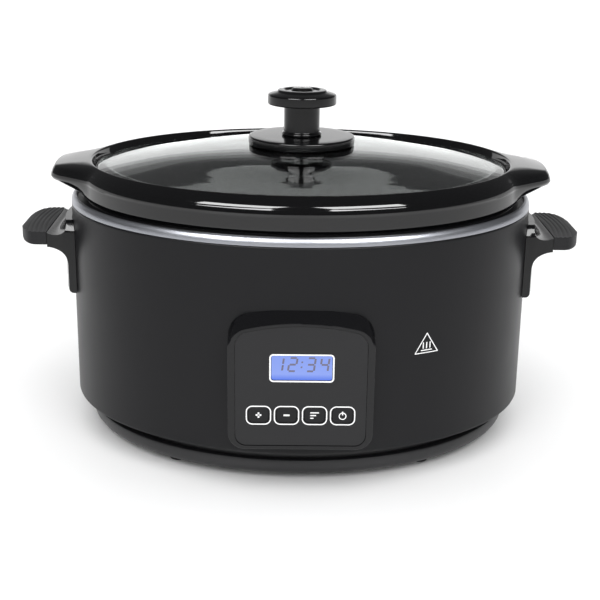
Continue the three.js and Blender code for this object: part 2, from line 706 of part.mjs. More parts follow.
place('control_board', controlBoard(), BOARD_GREEN);
for (const spot of boardScrewPlaces()) place(spot.name, boardScrew(spot), ZINC_STEEL);
place('display_module', displayModule(), DISPLAY_BLUE);
place('power_board', powerBoard(), BOARD_GREEN);
const relay = box([-38, -19], [56, 72], [BOARD_TOP_PARTS, 27.5]);
place('relay', relay, finish(0x1d4f9e, 0.5, 0));
const transformer = box([8, 32], [54, 78], [BOARD_TOP_PARTS, 27]);
place('transformer', transformer, finish(0xd8b23a, 0.6, 0));
const capacitor = rod(5, 12).translate(-6, 80, BOARD_TOP_PARTS);
place('smoothing_capacitor', capacitor, finish(0x2b2b33, 0.4, 0));
place('ribbon_cable', ribbonCable(), WIRE_WHITE);
for (const [name, side] of [['heater_lead_live', -1], ['heater_lead_neutral', 1]]) {
  const route = [
    [side * 30, 93.4, 12.2], [side * 42, 100, 18], [side * 50, 105, 29.6],
    [side * 57, 113, 33.4], [side * 62, 116, 42], [side * 70, 116, 60],
  ];
  place(name, wire(route, 1.2, 10), WIRE_WHITE);
}
place('cord_gland', cordGland(), RUBBER);

place('panel_frame', panelFrame(), GLOSS_PLASTIC);
place('panel_face', facePlate(), SATIN_PLASTIC);
place('display_window', displayWindow(), DISPLAY_BLUE);
for (const { name, x } of keyPlaces()) {
  place(name, key(x), SATIN_PLASTIC);
  place(name.replace('key', 'switch'), tactSwitch(x), ZINC_STEEL);
}

for (const [sideName, turn] of [['right', 0], ['left', Math.PI]]) {
  const side = new THREE.Group();
  side.rotation.z = turn;
  group.add(side);
  place(`handle_${sideName}`, handle(), GLOSS_PLASTIC, side);
  place(`handle_pad_${sideName}`, handlePad(), SATIN_PLASTIC, side);
  for (const [level, height] of Object.entries(HANDLE_SCREW_HEIGHTS)) {
    place(`handle_screw_${sideName}_${level}`, handleScrew(height), ZINC_STEEL, side);
  }
}

place('stoneware_pot', stonewarePot(), GLAZED_STONEWARE);
place('glass_lid', glassLid(), CLEAR_GLASS);
place('knob_flange', knobFlange(), GLOSS_PLASTIC);
place('knob_stem', knobStem(), GLOSS_PLASTIC);
place('knob_cap', knobCap(), GLOSS_PLASTIC);
place('knob_gasket', washer(9, 3.2, LID_APEX - LID_GLASS - 1.2, LID_APEX - LID_GLASS - GAP), SILICONE);
place('knob_washer', washer(8, 3.2, LID_APEX - LID_GLASS - 1.9, LID_APEX - LID_GLASS - 1.5), ZINC_STEEL);
place('knob_screw', knobScrew(), ZINC_STEEL);

export default group;
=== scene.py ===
import math

import bpy
from mathutils import Matrix, Vector


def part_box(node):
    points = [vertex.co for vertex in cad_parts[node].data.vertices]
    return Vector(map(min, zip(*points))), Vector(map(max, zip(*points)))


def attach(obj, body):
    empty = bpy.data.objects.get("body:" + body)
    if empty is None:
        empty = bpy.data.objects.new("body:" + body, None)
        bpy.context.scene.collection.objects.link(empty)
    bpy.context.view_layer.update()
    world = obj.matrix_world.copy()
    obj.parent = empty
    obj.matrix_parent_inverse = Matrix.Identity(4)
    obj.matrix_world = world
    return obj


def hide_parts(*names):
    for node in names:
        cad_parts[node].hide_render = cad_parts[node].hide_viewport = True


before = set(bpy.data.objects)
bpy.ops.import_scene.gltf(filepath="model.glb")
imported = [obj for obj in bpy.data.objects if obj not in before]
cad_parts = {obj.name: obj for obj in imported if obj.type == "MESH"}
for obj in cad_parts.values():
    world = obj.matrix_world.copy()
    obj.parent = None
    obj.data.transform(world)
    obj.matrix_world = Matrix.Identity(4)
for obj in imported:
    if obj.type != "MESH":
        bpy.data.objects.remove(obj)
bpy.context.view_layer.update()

MM = 0.001

# ---- Studio -------------------------------------------------------------------------------
# A pale floor that runs out of sight, lit by two broad skies: one overhead, one leaning from the
# front. A long wall of light far behind fades out upwards, and two soft boxes in front, with a gap
# between them, only add highlights. The camera looks down on the lid at 18 degrees.
LENS = 71.6
CAMERA_SIDE = 0.00054
CAMERA_DISTANCE = 0.8517
CAMERA_HEIGHT = 0.3613
CAMERA_PITCH = 0.312
CAMERA_ROLL = 0.0145
CAMERA_AZIMUTH = -0.0135
FLOOR_SIZE = 200.0
WALL_DISTANCE = 5.5
WALL_WIDTH = 12
# Each band of the wall: its lower edge, its upper edge and its radiance
WALL_BANDS = ((0.0, 1.6, 1.05), (1.6, 1.85, 0.65), (1.85, 2.15, 0.35), (2.15, 2.5, 0.15))
FRONT_BOX_PLACES = ((-0.7, -1.2, 1.2), (0.7, -1.2, 1.2))
FRONT_BOX_SIZE = (1.0, 0.8)
FRONT_BOX_AIM = (0, 0, 0.15)
FRONT_BOX_RADIANCE = 15
# Each sky: how far it leans from the front, its strength and its spread, with angles in degrees
SKIES = ((0, 2.6, 120), (50, 2.3, 80))
ROOM_LIGHT = 0.14
ROOM_SEEN = 1.0


def colour(hex_value):
    """sRGB hex to the linear values that a shader takes."""
    parts = [int(hex_value[i:i + 2], 16) / 255 for i in (1, 3, 5)]
    return [p / 12.92 if p <= 0.04045 else ((p + 0.055) / 1.055) ** 2.4 for p in parts] + [1.0]


def add_node(tree, kind, settings=(), values=(), links=()):
    """A node with its settings, the values of its sockets and the sockets that feed it."""
    node = tree.nodes.new(kind)
    for name, value in dict(settings).items():
        setattr(node, name, value)
    for name, value in dict(values).items():
        node.inputs[name].default_value = value
    for name, source in dict(links).items():
        tree.links.new(source, node.inputs[name])
    return node


def plain_surface(name, hex_value, **values):
    """A Principled material with these values on the shader's own sockets."""
    material = bpy.data.materials.new(name)
    material.use_nodes = True
    shader = material.node_tree.nodes["Principled BSDF"]
    shader.inputs["Base Color"].default_value = colour(hex_value)
    for socket, value in values.items():
        shader.inputs[socket.replace("_", " ")].default_value = value
    return material


def put_camera():
    data = bpy.data.cameras.new("camera")
    data.lens = LENS
    data.sensor_width = 36.0
    data.clip_end = 300.0
    camera = bpy.data.objects.new("camera", data)
    bpy.context.scene.collection.objects.link(camera)
    orbit = Matrix.Rotation(CAMERA_AZIMUTH, 4, "Z")
    place = Matrix.Translation((CAMERA_SIDE, -CAMERA_DISTANCE, CAMERA_HEIGHT))
    pitch = Matrix.Rotation(math.pi / 2 - CAMERA_PITCH, 4, "X")
    roll = Matrix.Rotation(CAMERA_ROLL, 4, "Z")
    camera.matrix_world = orbit @ place @ (pitch @ roll)
    bpy.context.scene.camera = camera


def soft_box(name, place, target, size, radiance):
    """An area light that faces its target. It lights the object and isn't seen itself."""
    data = bpy.data.lights.new(name, "AREA")
    data.shape = "RECTANGLE"
    data.size, data.size_y = size
    data.energy = radiance * math.pi * size[0] * size[1]
    light = bpy.data.objects.new(name, data)
    bpy.context.scene.collection.objects.link(light)
    light.location = place
    light.rotation_euler = (Vector(target) - Vector(place)).to_track_quat("-Z", "Y").to_euler()
    light.visible_camera = False
    return light


put_camera()
bpy.context.scene.view_settings.view_transform = "Standard"

world = bpy.data.worlds.new("studio")
world.use_nodes = True
world.node_tree.nodes["Background"].inputs["Color"].default_value = colour("#f4f5f7")
seen = add_node(world.node_tree, "ShaderNodeLightPath")
glow = add_node(world.node_tree, "ShaderNodeMapRange",
                values={"To Min": ROOM_LIGHT, "To Max": ROOM_SEEN},
                links={"Value": seen.outputs["Is Camera Ray"]})
world.node_tree.links.new(glow.outputs["Result"],
                          world.node_tree.nodes["Background"].inputs["Strength"])
bpy.context.scene.world = world

bpy.ops.object.select_all(action="DESELECT")
bpy.ops.mesh.primitive_plane_add(size=FLOOR_SIZE, location=(0, 0, 0))
floor = bpy.context.object
floor.name = "floor"
floor.data.materials.append(plain_surface("pale_floor", "#f2f2f2", Roughness=0.3,
                                           Specular_IOR_Level=0.2))

for low, high, radiance in WALL_BANDS:
    middle = (low + high) / 2
    soft_box("back_wall", (0, WALL_DISTANCE, middle), (0, 0, middle), (WALL_WIDTH, high - low),
             radiance)
for place in FRONT_BOX_PLACES:
    box = soft_box("front_box", place, FRONT_BOX_AIM, FRONT_BOX_SIZE, FRONT_BOX_RADIANCE)
    box.visible_diffuse = False
for lean, strength, spread in SKIES:
    sky = bpy.data.objects.new("overhead", bpy.data.lights.new("overhead", "SUN"))
    sky.data.energy = strength
    sky.data.angle = math.radians(spread)
    sky.rotation_euler = (math.radians(lean), 0, 0)
    sky.visible_glossy = False
    bpy.context.scene.collection.objects.link(sky)

# ---- Base tray ----------------------------------------------------------------------------
# The black polypropylene tray that closes the body from below. It is moulded with a rolled ring
# round its foot and a neck that stands back, so that the body seems to float above it.
SHELL_LOW, SHELL_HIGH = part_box("outer_shell")
OVAL_DIFFERENCE = SHELL_HIGH.x - SHELL_HIGH.y
ROUND_WITHIN = 40 * MM
OVAL_BEYOND = 118 * MM
SLOT_PITCH = 12
SLOT_ROWS = (-62, 62)
SLOT_HALF_WIDTH = 2
SLOT_HALF_LENGTH = 14
# Patches in which a surface is a little duller or shinier: 18 to a metre, each some 55 mm wide
CLOUD_SCALE = 18.0


def smooth_step(value, start, end):
    """A share that grows from 0 at the start to 1 at the end, slowly at both."""
    share = min(max((value - start) / (end - start), 0.0), 1.0)
    return share * share * (3 - 2 * share)


def oval(half_length):
    """Half depth of the body's oval at this half length: round in the middle, oval outside."""
    return half_length - smooth_step(half_length, ROUND_WITHIN, OVAL_BEYOND) * OVAL_DIFFERENCE


def pick(piece):
    """Selects one piece alone and makes it the active one."""
    bpy.ops.object.select_all(action="DESELECT")
    piece.select_set(True)
    bpy.context.view_layer.objects.active = piece


def leave_edit():
    """Turns every face outwards and leaves edit mode."""
    bpy.ops.mesh.select_all(action="SELECT")
    bpy.ops.mesh.normals_make_consistent(inside=False)
    bpy.ops.object.mode_set(mode="OBJECT")


def stack(name, profile, depth=oval, segments=144, closed=True):
    """A circle extruded from ring to ring. profile holds half length and height in millimetres.
    A closed stack is bridged back to its first ring, an open one is filled at both ends."""
    rings = [(half * MM, height * MM) for half, height in profile]
    half, height = rings[0]
    bpy.ops.object.select_all(action="DESELECT")
    bpy.ops.mesh.primitive_circle_add(vertices=segments, radius=half, enter_editmode=True)
    bpy.ops.transform.translate(value=(0, 0, height))
    bpy.ops.transform.resize(value=(1, depth(half) / half, 1))
    if not closed:
        bpy.ops.mesh.edge_face_add()
        bpy.ops.mesh.poke()
        bpy.ops.mesh.region_to_loop()
    for (half, height), (next_half, next_height) in zip(rings, rings[1:]):
        rise = {"value": (0, 0, next_height - height)}
        bpy.ops.mesh.extrude_region_move(TRANSFORM_OT_translate=rise)
        size = (next_half / half, depth(next_half) / depth(half), 1)
        bpy.ops.transform.resize(value=size)
    if closed:
        bpy.ops.mesh.select_all(action="SELECT")
        bpy.ops.mesh.region_to_loop()
        bpy.ops.mesh.bridge_edge_loops()
    else:
        bpy.ops.mesh.edge_face_add()
        bpy.ops.mesh.poke()
    leave_edit()
    piece = bpy.context.object
    piece.name = name
    return piece


def apply(piece, kind, **settings):
    """Adds a modifier with these settings and applies it."""
    pick(piece)
    modifier = piece.modifiers.new(kind.lower(), kind)
    for name, value in settings.items():
        setattr(modifier, name, value)
    bpy.ops.object.modifier_apply(modifier=modifier.name)


def cut(piece, *tools, operation="DIFFERENCE"):
    """Cuts the piece by the tools, joins or intersects it with them, and drops the tools."""
    for tool in tools:
        apply(piece, "BOOLEAN", object=tool, operation=operation, solver="EXACT")
        bpy.data.objects.remove(tool)


def done(piece, body, material, replaces=(), smooth=30):
    """Smooth faces that keep their flats flat, the material, and the body of the piece."""
    pick(piece)
    bpy.ops.object.transform_apply(location=True, rotation=True, scale=True)
    bpy.ops.object.shade_smooth_by_angle(angle=math.radians(smooth))
    apply(piece, "WEIGHTED_NORMAL", keep_sharp=True)
    piece.data.materials.clear()
    piece.data.materials.append(material)
    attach(piece, body)
    if replaces:
        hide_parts(*replaces)
    return piece


def block(name, low, high):
    """A box between two corners, in millimetres."""
    size = [(b - a) * MM for a, b in zip(low, high)]
    centre = [(a + b) / 2 * MM for a, b in zip(low, high)]
    bpy.ops.object.select_all(action="DESELECT")
    bpy.ops.mesh.primitive_cube_add(size=1, location=centre)
    piece = bpy.context.object
    piece.name = name
    piece.scale = size
    bpy.ops.object.transform_apply(location=True, rotation=True, scale=True)
    return piece


def grain(material, size, height, roughness, spread=0.0, colours=None):
    """Fine unevenness of a surface: size and height in millimetres. The roughness wanders round
    its value by the spread, and the colour between two shades if they are given."""
    tree = material.node_tree
    shader = tree.nodes["Principled BSDF"]
    place = add_node(tree, "ShaderNodeTexCoord")
    noise = add_node(tree, "ShaderNodeTexNoise", values={"Scale": 1 / (size * MM), "Detail": 3.0},
                     links={"Vector": place.outputs["Object"]})
    bump = add_node(tree, "ShaderNodeBump", values={"Distance": height * MM, "Strength": 1.0},
                    links={"Height": noise.outputs["Fac"]})
    tree.links.new(bump.outputs["Normal"], shader.inputs["Normal"])
    if spread:
        cloud = add_node(tree, "ShaderNodeTexNoise", values={"Scale": CLOUD_SCALE, "Detail": 2.0},
                         links={"Vector": place.outputs["Object"]})
        wander = add_node(tree, "ShaderNodeMapRange",
                          values={"From Min": 0.3, "From Max": 0.7, "To Min": roughness - spread,
                                  "To Max": roughness + spread},
                          links={"Value": cloud.outputs["Fac"]})
        tree.links.new(wander.outputs["Result"], shader.inputs["Roughness"])
    if colours:
        shades = add_node(tree, "ShaderNodeMix", settings={"data_type": "RGBA"},
                          values={"A": colour(colours[0]), "B": colour(colours[1])},
                          links={"Factor": noise.outputs["Fac"]})
        tree.links.new(shades.outputs["Result"], shader.inputs["Base Color"])
    return material


# Injection-moulded polypropylene: a soft sheen over a fine spark-eroded texture
moulded_polypropylene = grain(plain_surface("moulded_polypropylene", "#19191b", Roughness=0.36,
                                            IOR=1.49), 0.5, 0.02, 0.36, spread=0.05)

TRAY_PROFILE = [
    (3.6, 9), (22, 9), (26, 4), (148, 4), (150.6, 4.5), (152.8, 5.8), (154.3, 8), (155, 10.6),
    (155, 14), (154.5, 15.2), (153.4, 15.8), (150.3, 15.8), (150.3, 24.7), (147.2, 24.7),
    (147.2, 29), (145.3, 29), (145.3, 7), (27.5, 7), (23.5, 12), (3.6, 12),
]
tray = stack("moulded_base_tray", TRAY_PROFILE)
for row in SLOT_ROWS:
    for column in range(-2, 3):
        middle = column * SLOT_PITCH
        cut(tray, block("slot", (middle - SLOT_HALF_WIDTH, row - SLOT_HALF_LENGTH, 3),
                        (middle + SLOT_HALF_WIDTH, row + SLOT_HALF_LENGTH, 8)))
done(tray, "housing", moulded_polypropylene, ["base_tray"])

# ---- Feet ---------------------------------------------------------------------------------
# Four nitrile rubber feet, each pressed through a hole in the tray by its barbed stem. Rubber is
# matt and darker than the tray, with a fine dusty grain.
FOOT_NODES = ["foot_front_left", "foot_front_right", "foot_rear_left", "foot_rear_right"]
moulded_rubber = grain(plain_surface("moulded_rubber", "#141415", Roughness=0.8, IOR=1.52),
                       0.35, 0.03, 0.8, colours=("#101011", "#1b1b1c"))
FOOT_PROFILE = [
    (5.2, 0), (5.7, 0.3), (6, 0.9), (6, 3.2), (5.6, 3.7), (2.4, 3.7), (2.4, 7.4), (3.6, 7.4),
    (2.2, 9.4), (1, 9.4),
]


def circle(radius):
    """Half depth of a round ring: the same as its half length."""
    return radius


for node in FOOT_NODES:
    low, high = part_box(node)
    middle = (low + high) / 2
    foot = stack(f"rubber_{node}", FOOT_PROFILE, circle, 32, False)
    foot.location = (middle.x, middle.y, 0)
    done(foot, "housing", moulded_rubber, [node])

# ---- Shell --------------------------------------------------------------------------------
# The body wall: 1 mm steel strip rolled to an oval, its ends folded in at the top and the bottom,
# then powder coated black. The coat lies in a fine orange peel with a satin sheen.
GLAND_HEIGHT = 42
SCREW_HEIGHTS = (106, 144)

powder_coated_steel = grain(plain_surface("powder_coated_steel", "#131315", Roughness=0.38,
                                          IOR=1.5, Specular_IOR_Level=0.2),
                            0.9, 0.012, 0.38, spread=0.03)


def rod(name, radius, low, high, segments=48):
    """A round bar between two points, in millimetres."""
    start, end = Vector(low) * MM, Vector(high) * MM
    bpy.ops.object.select_all(action="DESELECT")
    bpy.ops.mesh.primitive_cylinder_add(vertices=segments, radius=radius * MM,
                                        depth=(end - start).length, location=(start + end) / 2)
    piece = bpy.context.object
    piece.name = name
    piece.rotation_euler = (end - start).to_track_quat("Z", "Y").to_euler()
    bpy.ops.object.transform_apply(location=True, rotation=True, scale=True)
    return piece


shell = stack("powder_coated_shell", [
    (147.6, 25), (164, 25), (164.7, 25.3), (165, 26), (165, 27), (165, 163), (165, 164),
    (164.7, 164.7), (164, 165), (154, 165), (154, 164), (164, 164), (164, 26), (147.6, 26),
], segments=192)
cut(shell, block("panel_hole", (-42.3, -160, 34.6), (42.3, -118, 115.6)),
    rod("gland_hole", 7.9, (0, 120, GLAND_HEIGHT), (0, 160, GLAND_HEIGHT)))
for height in SCREW_HEIGHTS:
    cut(shell, rod("screw_hole", 2.1, (-180, 0, height), (180, 0, height), 24))
done(shell, "housing", powder_coated_steel, ["outer_shell"])

# ---- Rim band -----------------------------------------------------------------------------
# A rolled aluminium band that closes the top of the wall, anodised silver, so that it shows a soft
# metal sheen with lines that run round it. Its channel inside, which carries the pot, is black
# powder
# coat as painted shade: it stands in for the dark shadow in the gap between the band and the pot.
# The lines are some 22 mm long and 0.4 mm apart, coarser than real brushing, so that they show.
BRUSH_SCALE = 45.0
BRUSH_SQUEEZE = (1, 1, 60)
BRUSH_ROUGHNESS = (0.26, 0.42)

anodised_aluminium = plain_surface("anodised_aluminium", "#a2a4aa", Metallic=1.0, Roughness=0.34)
brush_tree = anodised_aluminium.node_tree
brush_place = add_node(brush_tree, "ShaderNodeTexCoord")
brush_squeeze = add_node(brush_tree, "ShaderNodeMapping", values={"Scale": BRUSH_SQUEEZE},
                         links={"Vector": brush_place.outputs["Object"]})
brush_lines = add_node(brush_tree, "ShaderNodeTexNoise",
                       values={"Scale": BRUSH_SCALE, "Detail": 3.0},
                       links={"Vector": brush_squeeze.outputs["Vector"]})
brush_shine = add_node(brush_tree, "ShaderNodeMapRange",
                       values={"To Min": BRUSH_ROUGHNESS[0], "To Max": BRUSH_ROUGHNESS[1]},
                       links={"Value": brush_lines.outputs["Fac"]})
brush_tree.links.new(brush_shine.outputs["Result"],
                     brush_tree.nodes["Principled BSDF"].inputs["Roughness"])

band = stack("rolled_rim_band", [
    (162.6, 165.3), (165, 165.3), (165, 166.6), (164.8, 168), (164.3, 169.3), (163.6, 170.3),
    (162.8, 170.9), (162, 171), (161.3, 170.7), (160.9, 170), (160.8, 168.9), (161.6, 168.9),
    (162.3, 167.9), (162.6, 166.6),
], segments=192)
done(band, "housing", anodised_aluminium, ["rim_band"])
# The channel is coloured black as painted shade, for the shadowed gap between the band and the pot.
channel = stack("black_rim_channel_painted_shade", [
    (149.5, 166.4), (150.7, 166.4), (150.7, 171.4), (153.2, 171.4), (153.4, 167.6), (160.5, 167.6),
    (160.6, 168.8), (154.8, 168.8), (154.5, 169.2), (154.4, 171.6), (154.1, 172.3), (153.4, 172.7),
    (151.2, 172.7), (150.1, 172.4), (149.6, 171.6),
], segments=192)
done(channel, "housing", powder_coated_steel)

# ---- Control panel ------------------------------------------------------------------------
# A gloss black ABS frame clipped through the wall. Its front edge is rounded, and its top leans
# back to the wall like a low hood, all along an arch.
PANEL_FRONT = -146
ARCH_RADIUS = 155
# Half length of the oval that pieces on the wall are cut to, which leaves them a small gap
PLUG_REACH = 165.3
# The hood's outline: how far each step lies behind the front, and how much higher it stands
HOOD_STEPS = ((0, 0), (0.5, 1.7), (2.5, 3.5), (5.2, 5.8), (8, 8))

# ABS from a polished mould: a near mirror that wavers a little
gloss_abs = grain(plain_surface("gloss_abs", "#0c0c0e", Roughness=0.13, IOR=1.54,
                                Specular_IOR_Level=0.35),
                  9.0, 0.02, 0.13, spread=0.02)


def soften(piece, width, segments=3, angle=35):
    """Rounds every edge that turns more than the angle, in degrees. width is in millimetres."""
    apply(piece, "BEVEL", width=width * MM, segments=segments, limit_method="ANGLE",
          angle_limit=math.radians(angle), miter_outer="MITER_ARC")


def oval_plug(half_length, bottom, top, segments=144):
    """A solid oval up to this half length, to cut the body's curve into what lies on it."""
    return stack("plug", [(half_length, bottom), (half_length, top)], oval, segments, False)


def choose(test):
    """Selects the vertices of the edited mesh whose place, in millimetres, passes the test."""
    bpy.ops.object.mode_set(mode="OBJECT")
    mesh = bpy.context.object.data
    for vertex in mesh.vertices:
        vertex.select = bool(test(vertex.co / MM))
    for edge in mesh.edges:
        edge.select = all(mesh.vertices[i].select for i in edge.vertices)
    for face in mesh.polygons:
        face.select = all(mesh.vertices[i].select for i in face.vertices)
    bpy.ops.object.mode_set(mode="EDIT")


def rounded_face(name, width, height, corner, centre=(0, 0, 0), segments=8):
    """An upright plane with round corners that faces the front, left in edit mode."""
    x, y, z = centre
    bpy.ops.object.select_all(action="DESELECT")
    bpy.ops.mesh.primitive_plane_add(size=1, rotation=(math.pi / 2, 0, 0),
                                     location=(x * MM, y * MM, z * MM))
    piece = bpy.context.object
    piece.name = name
    piece.scale = (width * MM, height * MM, 1)
    bpy.ops.object.transform_apply(location=True, rotation=True, scale=True)
    bpy.ops.object.mode_set(mode="EDIT")
    bpy.ops.mesh.select_mode(type="VERT")
    bpy.ops.mesh.select_all(action="SELECT")
    if corner:
        bpy.ops.mesh.bevel(offset=corner * MM, segments=segments, affect="VERTICES")
        bpy.ops.mesh.select_all(action="SELECT")
    return piece


def arched_plate(name, width, bottom, top, corner, front, steps):
    """A plate with an arched top. Each step gives how far it lies behind the front, and how much
    higher the arch stands there."""
    piece = rounded_face(name, width, top - bottom, corner, (0, front, (top + bottom) / 2))
    choose(lambda place: place.z > top - 0.01)
    bpy.ops.mesh.subdivide(number_cuts=24)
    bpy.ops.mesh.select_all(action="SELECT")
    for (depth, _), (next_depth, _) in zip(steps, steps[1:]):
        move = {"value": (0, (next_depth - depth) * MM, 0)}
        bpy.ops.mesh.extrude_region_move(TRANSFORM_OT_translate=move)
    leave_edit()
    for vertex in piece.data.vertices:
        x, y, z = vertex.co / MM
        if z > top - corner - 0.01:
            depth, rise = min(steps, key=lambda step: abs(front + step[0] - y))
            vertex.co.z += (rise - x * x / (2 * ARCH_RADIUS)) * MM
    return piece


frame_piece = arched_plate("gloss_panel_frame", 93.6, 32, 117, 11, PANEL_FRONT,
                           (*HOOD_STEPS, (21, 8)))
soften(frame_piece, 1.1, 3, 50)
cut(frame_piece, oval_plug(PLUG_REACH, 20, 140, 192))
frame_neck = arched_plate("neck", 83.6, 35, 115.5, 7, PANEL_FRONT + 3, ((0, 0), (13, 0)))
cut(frame_piece, frame_neck, operation="UNION")
cut(frame_piece,
    arched_plate("seat", 84.6, 34.4, 116.1, 7.3, -150, ((0, 0), (6.8, 0))),
    arched_plate("inside", 80, 36.7, 113.8, 5, -150, ((0, 0), (30, 0))))
done(frame_piece, "housing", gloss_abs, ["panel_frame"], smooth=25)

# ---- Face plate ---------------------------------------------------------------------------
# A satin black polycarbonate plate set half a millimetre deep in the frame, with a hole for the
# window and one for each key. It is printed with a white outline round each of them.
FACE_FRONT = PANEL_FRONT + 0.5
KEYS = {"plus": -27, "minus": -9, "mode": 9, "power": 27}
KEY_HEIGHT = 55.6
WINDOW = (0.4, 88)
PRINT_THICKNESS = 0.07

# Moulded polycarbonate with a fine etched face: darker and duller than the frame round it
satin_polycarbonate = grain(plain_surface("satin_polycarbonate", "#151517", Roughness=0.42,
                                          IOR=1.58, Specular_IOR_Level=0.3),
                            0.25, 0.008, 0.42, spread=0.03)
# Screen-printed ink: flat opaque white, a little uneven where it dried
screen_print_white = grain(plain_surface("screen_print_white", "#f1f1f1", Roughness=0.55),
                           0.2, 0.005, 0.55, spread=0.05)


def rounded_plate(name, width, height, corner, centre, thickness, segments=8):
    """A plate with round corners, from its front face backwards."""
    piece = rounded_face(name, width, height, corner, centre, segments)
    bpy.ops.mesh.extrude_region_move(TRANSFORM_OT_translate={"value": (0, thickness * MM, 0)})
    leave_edit()
    return piece


face = arched_plate("satin_panel_face", 84, 34.7, 115.8, 7, FACE_FRONT, ((0, 0), (2, 0)))
for x in KEYS.values():
    cut(face, rounded_plate("key_hole", 13.9, 10.7, 3.3, (x, FACE_FRONT - 3, KEY_HEIGHT), 8))
cut(face, rounded_plate("window_hole", 39.3, 16.9, 1.8,
                        (WINDOW[0], FACE_FRONT - 3, WINDOW[1]), 8))
done(face, "housing", satin_polycarbonate, ["panel_face"])


def printed_ring(name, width, height, corner, line, centre, front):
    """A printed outline: a rounded face inset by the line's width, its middle taken away."""
    piece = rounded_face(name, width, height, corner, (centre[0], front, centre[1]))
    bpy.ops.mesh.inset(thickness=line * MM)
    bpy.ops.mesh.delete(type="FACE")
    bpy.ops.mesh.select_all(action="SELECT")
    thickness = {"value": (0, -PRINT_THICKNESS * MM, 0)}
    bpy.ops.mesh.extrude_region_move(TRANSFORM_OT_translate=thickness)
    leave_edit()
    return piece


def joined(name, pieces):
    """One object from many, under a name."""
    bpy.ops.object.select_all(action="DESELECT")
    for piece in pieces:
        piece.select_set(True)
    bpy.context.view_layer.objects.active = pieces[0]
    bpy.ops.object.join()
    pieces[0].name = name
    return pieces[0]


outlines = [printed_ring("outline", 16.3, 13.1, 4.2, 0.75, (x, KEY_HEIGHT), FACE_FRONT)
            for x in KEYS.values()]
outlines.append(printed_ring("outline", 41.3, 18.9, 2.6, 0.95, WINDOW, FACE_FRONT))
done(joined("printed_outlines", outlines), "housing", screen_print_white)

# ---- Window and keys ----------------------------------------------------------------------
# A clear acrylic window over a lit blue crystal display, whose digits are dark segments that lean
# to the right, and four moulded silicone keys with printed signs. Each key has a collar behind the
# face plate that holds it in, and a stem that presses its switch.
DISPLAY_FRONT = FACE_FRONT + 0.2
DISPLAY_HALF_HEIGHT = 8.1
DISPLAY_SHADES = ((0.0, "#4d78ee"), (0.25, "#92abf8"), (1.0, "#8aa4f4"))
DISPLAY_GLOW = 0.85
SEGMENT_GREY = "#5f5c70"
SEGMENT_GLOW = 0.12
DIGIT_SLANT = 0.13
SEGMENTS = {"1": "bc", "2": "abged", "3": "abgcd", "4": "fgbc"}
DIGIT_PLACES = {"1": -14.6, "2": -6, "3": 5.6, "4": 14.3}
COLON_PLACE = -0.2
DIGIT_HEIGHT = 8.9
DIGIT_WIDTH = 4.8
SEGMENT_WIDTH = 1.25
DIGIT_BASE = 86

# Acrylic over a crystal display: a glossy pane that glows blue, deeper along its lower edge
lit_display = plain_surface("lit_display", "#20264a", Roughness=0.12, IOR=1.49,
                            Emission_Strength=DISPLAY_GLOW)
lit_tree = lit_display.node_tree
lit_place = add_node(lit_tree, "ShaderNodeTexCoord")
lit_height = add_node(lit_tree, "ShaderNodeSeparateXYZ",
                      links={"Vector": lit_place.outputs["Object"]})
lit_share = add_node(lit_tree, "ShaderNodeMapRange",
                     values={"From Min": (WINDOW[1] - DISPLAY_HALF_HEIGHT) * MM,
                             "From Max": (WINDOW[1] + DISPLAY_HALF_HEIGHT) * MM},
                     links={"Value": lit_height.outputs["Z"]})
lit_ramp = add_node(lit_tree, "ShaderNodeValToRGB", links={"Fac": lit_share.outputs["Result"]})
lit_ramp.color_ramp.elements.new(DISPLAY_SHADES[1][0])
for stop, (_, shade) in zip(lit_ramp.color_ramp.elements, DISPLAY_SHADES):
    stop.color = colour(shade)
lit_tree.links.new(lit_ramp.outputs["Color"],
                   lit_tree.nodes["Principled BSDF"].inputs["Emission Color"])

# Crystal segments: flat and grey, lit faintly from behind
segment_ink = grain(plain_surface("segment_ink", SEGMENT_GREY, Roughness=0.5,
                                  Emission_Color=colour(SEGMENT_GREY),
                                  Emission_Strength=SEGMENT_GLOW),
                    0.2, 0.004, 0.5, spread=0.04)

window = rounded_plate("lit_display_window", 38.7, 16.3, 1.5,
                       (WINDOW[0], DISPLAY_FRONT, WINDOW[1]), 1.8)
soften(window, 0.25, 2)
done(window, "housing", lit_display, ["display_window"])


def bar(centre_x, centre_z, width, height, front, corner=0.25):
    """A thin printed bar that stands a print's thickness in front of a face."""
    return rounded_plate("bar", width, height, corner,
                         (centre_x, front - PRINT_THICKNESS, centre_z), PRINT_THICKNESS, 3)


def digit(character):
    """The segments of one digit as printed bars, leaning to the right."""
    left = DIGIT_PLACES[character] - DIGIT_WIDTH / 2
    level = {"a": DIGIT_HEIGHT, "g": DIGIT_HEIGHT / 2, "d": 0}
    bars = []
    for segment in SEGMENTS[character]:
        if segment in level:
            bars.append(bar(left + DIGIT_WIDTH / 2, DIGIT_BASE + level[segment],
                            DIGIT_WIDTH - 0.9, SEGMENT_WIDTH, DISPLAY_FRONT))
        else:
            side = left + (DIGIT_WIDTH if segment in "bc" else 0)
            upper = segment in "bf"
            bars.append(bar(side, DIGIT_BASE + DIGIT_HEIGHT * (0.75 if upper else 0.25),
                            SEGMENT_WIDTH, DIGIT_HEIGHT / 2 - 0.8, DISPLAY_FRONT))
    return bars


digit_bars = [piece for character in "1234" for piece in digit(character)]
for level in (0.3, 0.68):
    digit_bars.append(bar(COLON_PLACE, DIGIT_BASE + DIGIT_HEIGHT * level, 1.1, 1.1,
                          DISPLAY_FRONT))
digits = joined("display_digits", digit_bars)
for vertex in digits.data.vertices:
    vertex.co.x += (vertex.co.z - DIGIT_BASE * MM) * DIGIT_SLANT
done(digits, "housing", segment_ink)

KEY_FRONT = FACE_FRONT + 0.2

